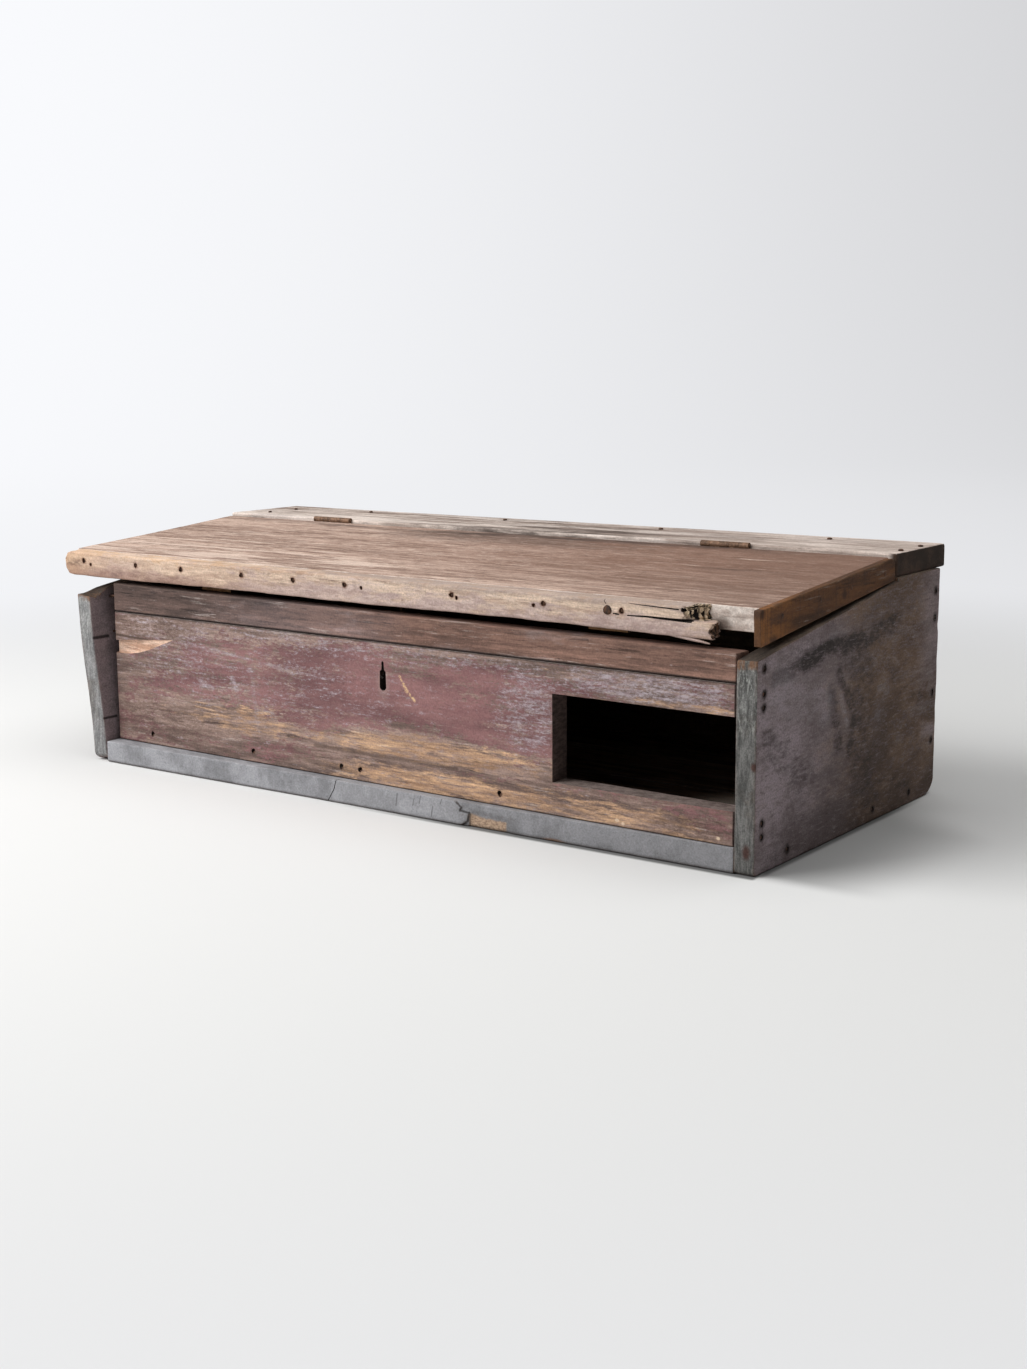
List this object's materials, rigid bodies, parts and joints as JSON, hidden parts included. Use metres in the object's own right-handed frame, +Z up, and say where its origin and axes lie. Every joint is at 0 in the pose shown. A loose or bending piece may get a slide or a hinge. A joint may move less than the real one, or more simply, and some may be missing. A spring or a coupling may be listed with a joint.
{
  "type": "slant-lidded storage chest",
  "caption": "Low wooden storage chest of nailed boards with a sloping hinged lid, a fixed rear top board, a keyhole with a box lock and a cut-out opening in its painted front.",
  "frame": {"origin": "on the floor plane, midway between the end boards' outer faces and midway along their depth", "axes": "+X to the right along the length, -Y out of the front, +Z up"},
  "size_m": [0.9575, 0.43, 0.276],
  "materials": {
    "mauve_paint_wood": "worn paint",
    "grey_paint_wood": "worn paint",
    "red_paint_wood": "worn paint",
    "lid_wood": "weathered",
    "pale_wood": "weathered",
    "gold_wood": "sawn",
    "raw_wood": "aged",
    "rusty_iron": "rusty"
  },
  "bodies": {
    "chest": {"right_end_board": "mauve_paint_wood", "left_end_board": "mauve_paint_wood", "bottom_front_board": "grey_paint_wood", "bottom_rear_board": "grey_paint_wood", "back_lower_board": "raw_wood", "back_upper_board": "raw_wood", "front_board": "red_paint_wood", "front_strip": "red_paint_wood", "rear_board": "pale_wood", "right_end_nails": "rusty_iron", "left_end_nails": "rusty_iron", "front_nails": "rusty_iron", "rear_board_nails": "rusty_iron", "left_hinge_fixed_leaf": "rusty_iron", "left_hinge_pin": "rusty_iron", "right_hinge_fixed_leaf": "rusty_iron", "right_hinge_pin": "rusty_iron", "hinge_fixed_screws": "rusty_iron", "lock_case": "rusty_iron", "lock_spring": "rusty_iron", "lock_screws": "rusty_iron"},
    "lid": {"lid_board": "lid_wood", "lid_lip": "pale_wood", "lid_end_cleat": "gold_wood", "lid_left_batten": "raw_wood", "lid_right_batten": "raw_wood", "lip_nails": "rusty_iron", "cleat_nails": "rusty_iron", "batten_nails": "rusty_iron", "left_hinge_lid_leaf": "rusty_iron", "right_hinge_lid_leaf": "rusty_iron", "hinge_lid_screws": "rusty_iron", "lid_staple": "rusty_iron", "staple_screws": "rusty_iron"},
    "lock_bolt": {"lock_bolt": "rusty_iron"}
  },
  "joints": [
    {"name": "lid_hinge", "type": "hinge", "parent": "chest", "child": "lid", "pos_m": [0, 0.0968, 0.2725], "axis": [-1, 0, 0], "range_deg": [0, 180]},
    {"name": "lock_bolt_slide", "type": "slide", "parent": "chest", "child": "lock_bolt", "axis": [0.9998, -0.0211, 0], "range_m": [0, 0.012]}
  ]
}
